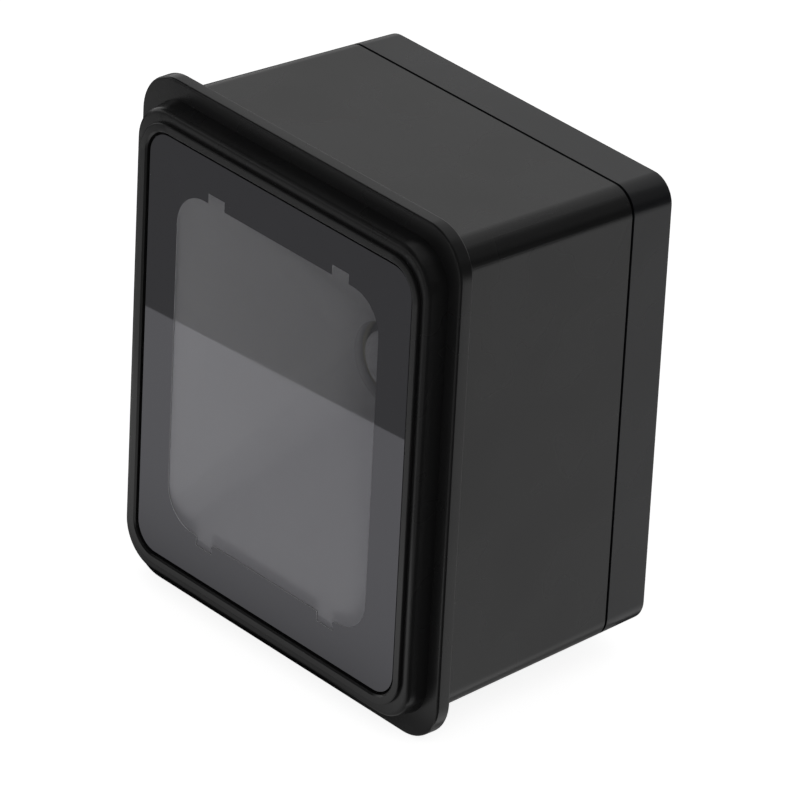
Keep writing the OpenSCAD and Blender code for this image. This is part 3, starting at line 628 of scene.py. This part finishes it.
def screw_tree():
    """Sets a screw at four corners, each copy turned by a seeded angle."""
    inputs = [("Screw", "Object"), ("Turn seed", "Int")] + CORNER_INPUTS
    tree, source, result = shape_tree("Screws", inputs)
    screw = tree.nodes.new("GeometryNodeObjectInfo")
    turn = tree.nodes.new("FunctionNodeRandomValue")
    turn.data_type = "FLOAT"
    turn.inputs[3].default_value = math.radians(360)
    angle = tree.nodes.new("ShaderNodeCombineXYZ")
    copies = set_at_corners(tree, source, result, screw.outputs["Geometry"], -90)
    link = tree.links.new
    link(source.outputs["Screw"], screw.inputs["Object"])
    link(source.outputs["Turn seed"], turn.inputs["Seed"])
    link(turn.outputs[1], angle.inputs["Z"])
    link(angle.outputs["Vector"], copies.inputs["Rotation"])
    return tree


def baked(name, tree, settings):
    """Runs a node tree on an empty mesh and returns the result as a plain mesh piece."""
    holder = bpy.data.objects.new(name + "_tree", bpy.data.meshes.new(name + "_tree"))
    bpy.context.scene.collection.objects.link(holder)
    step = holder.modifiers.new(name, "NODES")
    step.node_group = tree
    keys = input_keys(tree)
    for label, value in settings.items():
        step[keys[label]] = value
    view = bpy.context.evaluated_depsgraph_get()
    data = bpy.data.meshes.new_from_object(holder.evaluated_get(view))
    bpy.data.objects.remove(holder)
    data.name = name
    piece = bpy.data.objects.new(name, data)
    bpy.context.scene.collection.objects.link(piece)
    return piece


screw_low, screw_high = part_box("cover_screws")
cover_head_r = 2.3 * MILLIMETRE
cover_head_h = 1.6 * MILLIMETRE
cover_shank_r = 1.25 * MILLIMETRE
black_zinc = plated_metal("Black zinc plate", (0.09, 0.09, 0.095), roughness=0.36, mark=0.05 * MILLIMETRE)
cover_screw = turned_screw(
    "cover_screw", cover_head_r, cover_head_h, cover_shank_r,
    screw_high.y - screw_low.y - cover_head_h,
)
cover_screw_set = baked("cover_screw_set", screw_tree(), {
    "Screw": cover_screw,
    "Width": screw_high.x - screw_low.x - 2 * cover_head_r,
    "Height": screw_high.z - screw_low.z - 2 * cover_head_r,
    "Depth": screw_high.y - cover_head_h,
    "Turn seed": 7,
    "Finish": black_zinc,
})
bpy.data.objects.remove(cover_screw)
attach(cover_screw_set, "root")
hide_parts("cover_screws")


# Mounting inserts: four brass bushes pressed warm into the cover. A thread runs down each bore,
# and its crests are swept along a helix by a node tree.
def thread_tree():
    """Helical thread crests in four bores, at the corners of an upright rectangle."""
    helix_steps = 32
    crest_sides = 4
    sizes = [(label, "Float") for label in ("Bore radius", "Thread pitch", "Turns", "Crest")]
    tree, source, result = shape_tree("Threads", sizes + CORNER_INPUTS)
    helix = tree.nodes.new("GeometryNodeCurveSpiral")
    helix.inputs["Resolution"].default_value = helix_steps
    crest = tree.nodes.new("GeometryNodeCurvePrimitiveCircle")
    crest.inputs["Resolution"].default_value = crest_sides
    sweep = tree.nodes.new("GeometryNodeCurveToMesh")
    sweep.inputs["Fill Caps"].default_value = True
    climb = worked_out(tree, "MULTIPLY", source.outputs["Thread pitch"], source.outputs["Turns"])
    link = tree.links.new
    link(source.outputs["Bore radius"], helix.inputs["Start Radius"])
    link(source.outputs["Bore radius"], helix.inputs["End Radius"])
    link(source.outputs["Turns"], helix.inputs["Rotations"])
    link(climb, helix.inputs["Height"])
    link(source.outputs["Crest"], crest.inputs["Radius"])
    link(helix.outputs["Curve"], sweep.inputs["Curve"])
    link(crest.outputs["Curve"], sweep.inputs["Profile Curve"])
    set_at_corners(tree, source, result, sweep.outputs["Mesh"], 90)
    return tree


brass = plated_metal("Turned brass", (0.72, 0.5, 0.2), roughness=0.3, mark=0.05 * MILLIMETRE)
rounded_off(dressed(nodes["mounting_inserts"], brass))
insert_low, insert_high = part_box("mounting_inserts")
insert_r = 2.1 * MILLIMETRE
insert_bore_r = 1.25 * MILLIMETRE
insert_pitch = 0.5 * MILLIMETRE
insert_l = insert_high.y - insert_low.y
crest_inset = 0.02 * MILLIMETRE
crest_r = 0.16 * MILLIMETRE
insert_threads = baked("insert_threads", thread_tree(), {
    "Bore radius": insert_bore_r + crest_inset,
    "Thread pitch": insert_pitch,
    "Turns": (insert_l - 2 * insert_pitch) / insert_pitch,
    "Crest": crest_r,
    "Width": insert_high.x - insert_low.x - 2 * insert_r,
    "Height": insert_high.z - insert_low.z - 2 * insert_r,
    "Depth": insert_high.y - insert_pitch,
    "Finish": brass,
})
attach(insert_threads, "root")

# Stage: a white floor under the flange's lower edge. It keeps the scanner's shadow, and a glow that
# only the camera sees makes it as white as the world behind it. Reflections don't see the floor.
ONE_FACE = [(0, 1, 2, 3)]
floor_half = 3.0
floor_glow = 0.82
floor_data = bpy.data.meshes.new("floor")
floor_data.from_pydata([
    (-floor_half, -floor_half, cad_low.z), (floor_half, -floor_half, cad_low.z),
    (floor_half, floor_half, cad_low.z), (-floor_half, floor_half, cad_low.z),
], [], ONE_FACE)
floor = bpy.data.objects.new("floor", floor_data)
bpy.context.scene.collection.objects.link(floor)
floor_paint, floor_tree, floor_shader = blank_finish("White floor", (0.8, 0.8, 0.8), 0.9)
floor_shader.inputs["Specular IOR Level"].default_value = 0
floor_shader.inputs["Emission Color"].default_value = (1, 1, 1, 1)
eye = floor_tree.nodes.new("ShaderNodeLightPath")
glow_seen = worked_out(floor_tree, "MULTIPLY", eye.outputs["Is Camera Ray"], floor_glow)
floor_tree.links.new(glow_seen, floor_shader.inputs["Emission Strength"])
dressed(floor, floor_paint)
floor.visible_glossy = False

# World: plain white to the camera, in reflections and through glass. It is softer as the light on
# the scanner, so that the pale pieces don't clip to white.
seen_level = 1.0
lighting_level = 0.32
world = bpy.data.worlds.new("White studio")
bpy.context.scene.world = world
world.use_nodes = True
sky = world.node_tree
backdrop = sky.nodes["Background"]
backdrop.inputs["Color"].default_value = (1, 1, 1, 1)
paths = sky.nodes.new("ShaderNodeLightPath")
seen = worked_out(sky, "MAXIMUM", paths.outputs["Is Camera Ray"], paths.outputs["Is Glossy Ray"])
seen_at_all = worked_out(sky, "MAXIMUM", seen, paths.outputs["Is Transmission Ray"])
level = sky.nodes.new("ShaderNodeMapRange")
level.inputs["To Min"].default_value = lighting_level
level.inputs["To Max"].default_value = seen_level
sky.links.new(seen_at_all, level.inputs["Value"])
sky.links.new(level.outputs["Result"], backdrop.inputs["Strength"])

# Key lamp: a softbox at the front right, level with the scanner. It lights the mask, what lies
# behind the glass and the floor, but not the black plastic, and it is left out of reflections.
key_way = Vector((0.749, -0.663, 0.036)).normalized()
key_distance = 1.1
key_w = 0.3
key_h = 0.14
key_watts = 8.5
key = bpy.data.lights.new("key_softbox", "AREA")
key.shape = "RECTANGLE"
key.size = key_w
key.size_y = key_h
key.energy = key_watts
key_lamp = bpy.data.objects.new("key_softbox", key)
key_lamp.location = key_way * key_distance
key_lamp.rotation_euler = key_way.to_track_quat("Z", "Y").to_euler()
key_lamp.visible_glossy = False
bpy.context.scene.collection.objects.link(key_lamp)
lit_by_key = bpy.data.collections.new("lit_by_key")
for part in (
    "window_mask", "light_hood", "lens_barrel", "front_lens", "rear_lens", "lens_holder", "led_board",
):
    lit_by_key.objects.link(nodes[part])
lit_by_key.objects.link(floor)
key_lamp.light_linking.receiver_collection = lit_by_key


# Studio screens: curved boards that only reflections see, each set by the bearings and heights
# that it covers round the scanner. Without them the satin plastic would mirror white all round.
def reflected_board(name, corners, faces, brightness):
    """Board of an even brightness that lights nothing and is seen by reflections alone."""
    data = bpy.data.meshes.new(name)
    data.from_pydata([tuple(c) for c in corners], [], faces)
    board = bpy.data.objects.new(name, data)
    bpy.context.scene.collection.objects.link(board)
    paint = bpy.data.materials.new(name)
    paint.use_nodes = True
    tree = paint.node_tree
    tree.nodes.remove(tree.nodes["Principled BSDF"])
    glow = tree.nodes.new("ShaderNodeEmission")
    glow.inputs["Strength"].default_value = brightness
    tree.links.new(glow.outputs["Emission"], tree.nodes["Material Output"].inputs["Surface"])
    paint.cycles.emission_sampling = "NONE"
    dressed(board, paint)
    board.visible_camera = False
    board.visible_diffuse = False
    board.visible_shadow = False
    board.visible_transmission = False
    return board


def curved_screen(name, bearings, heights, distance, brightness):
    """Curved board between two bearings and two heights in degrees. Bearing 0 is +X, 90 is +Y."""
    steps = 24
    points = []
    for row in range(steps + 1):
        height = math.radians(heights[0] + (heights[1] - heights[0]) * row / steps)
        reach = math.cos(height) * distance
        climb = math.sin(height) * distance
        for column in range(steps + 1):
            bearing = math.radians(bearings[0] + (bearings[1] - bearings[0]) * column / steps)
            points.append((reach * math.cos(bearing), reach * math.sin(bearing), climb))
    wide = steps + 1
    faces = [
        (r * wide + c, r * wide + c + 1, (r + 1) * wide + c + 1, (r + 1) * wide + c)
        for r in range(steps) for c in range(steps)
    ]
    reflected_board(name, points, faces, brightness)


for name, bearings, heights, distance, brightness in (
    ("back_left_softbox", (70, 147), (4, 62), 1.5, 0.68),
    ("ceiling_flag", (147, 330), (25, 90), 1.6, 0.03),
    ("high_left_board", (188, 215), (32, 60), 1.5, 0.22),
    ("zenith_board", (-30, 149), (62, 90), 1.6, 0.45),
    ("upper_right_flag", (15, 70), (14, 62), 1.6, 0.2),
    ("front_right_flag", (-75, 15), (14, 62), 1.6, 0.05),
    ("right_flag", (-75, 78), (-13, 14), 1.6, 0.03),
    ("low_front_board", (-75, -45), (-62, -13), 1.6, 0.3),
    ("lower_right_flag", (-45, 33), (-62, -13), 1.6, 0.05),
    ("low_back_flag", (80, 200), (-75, 0), 1.5, 0.05),
):
    curved_screen(name, bearings, heights, distance, brightness)

# Foot shade: the scanner's own shade on the floor before it, which the bezel mirrors. It is dark at
# the flange's foot, fades to the white of the floor, and is three quarters as strong at the lit
# right end.
shade_lift = 0.05 * MILLIMETRE
shade_left = -100 * MILLIMETRE
shade_right = 32 * MILLIMETRE
shade_front = -90 * MILLIMETRE
shade_back = 0.0
shade_end = 40 * MILLIMETRE
shade_fade = 7.5 * MILLIMETRE
lit_from = 10 * MILLIMETRE
lit_to = 26 * MILLIMETRE
lit_strength = 0.75
foot_height = cad_low.z + shade_lift
foot_shade = reflected_board("foot_shade", [
    (shade_left, shade_front, foot_height), (shade_right, shade_front, foot_height),
    (shade_right, shade_back, foot_height), (shade_left, shade_back, foot_height),
], ONE_FACE, 1)
shade_tree = foot_shade.data.materials[0].node_tree
falling = along_axis(shade_tree, "Y", cad_low.y, cad_low.y - shade_end, 0, -shade_end / shade_fade)
thinning = along_axis(shade_tree, "X", lit_from, lit_to, 1, lit_strength)
shade = worked_out(shade_tree, "MULTIPLY", worked_out(shade_tree, "EXPONENT", falling), thinning)
left_over = worked_out(shade_tree, "SUBTRACT", 1, shade)
shade_tree.links.new(left_over, shade_tree.nodes["Emission"].inputs["Strength"])

# Picture's camera: far away with a long lens, above the front right corner and slightly rolled, as
# the photograph was taken.
azimuth = math.radians(47.83)
elevation = math.radians(28.18)
roll = math.radians(2.95)
camera_place = Vector((0.64624, -0.60593, 0.46169))
sensor_mm = 36
lens_mm = 323.8
camera_data = bpy.data.cameras.new("camera")
camera_data.sensor_width = sensor_mm
camera_data.lens = lens_mm
camera_data.clip_start = 0.05
camera_data.clip_end = 20
camera = bpy.data.objects.new("camera", camera_data)
bpy.context.scene.collection.objects.link(camera)
turned = Matrix.Rotation(azimuth, 4, "Z") @ Matrix.Rotation(math.radians(90) - elevation, 4, "X")
camera.matrix_world = Matrix.Translation(camera_place) @ turned @ Matrix.Rotation(roll, 4, "Z")
bpy.context.scene.camera = camera


# Window flag: a flat board at the front left whose lower edge the glass mirrors. That edge crosses
# the window a little above its middle, and below it the glass shows the white studio.
def mirrored(point, distance):
    """Where the camera's ray ends up, that distance after the glass mirrors it at a point."""
    ray = (point - camera_place).normalized()
    return point + Vector((ray.x, -ray.y, ray.z)) * distance


flag_distance = 0.8
flag_h = 0.95
spare_left = 0.55
spare_right = 0.75
flag_brightness = 0.24
edge_left_z = 4.86 * MILLIMETRE
edge_right_z = 7.82 * MILLIMETRE
edge_left = Vector((pane_low.x, pane_low.y, edge_left_z))
edge_right = Vector((pane_high.x, pane_low.y, edge_right_z))
flag_left = mirrored(edge_left, flag_distance)
flag_right = mirrored(edge_right, flag_distance)
beside = (flag_right - flag_left).normalized()
straight = (flag_left - edge_left).normalized()
above = beside.cross(straight).normalized()
if above.z < 0:
    above = -above
left_end = flag_left - beside * spare_left
right_end = flag_right + beside * spare_right
rise = above * flag_h
reflected_board("window_flag", [
    left_end, right_end, right_end + rise, left_end + rise,
], ONE_FACE, flag_brightness)

# Picture: colours come out as they are written.
bpy.context.scene.view_settings.view_transform = "Standard"
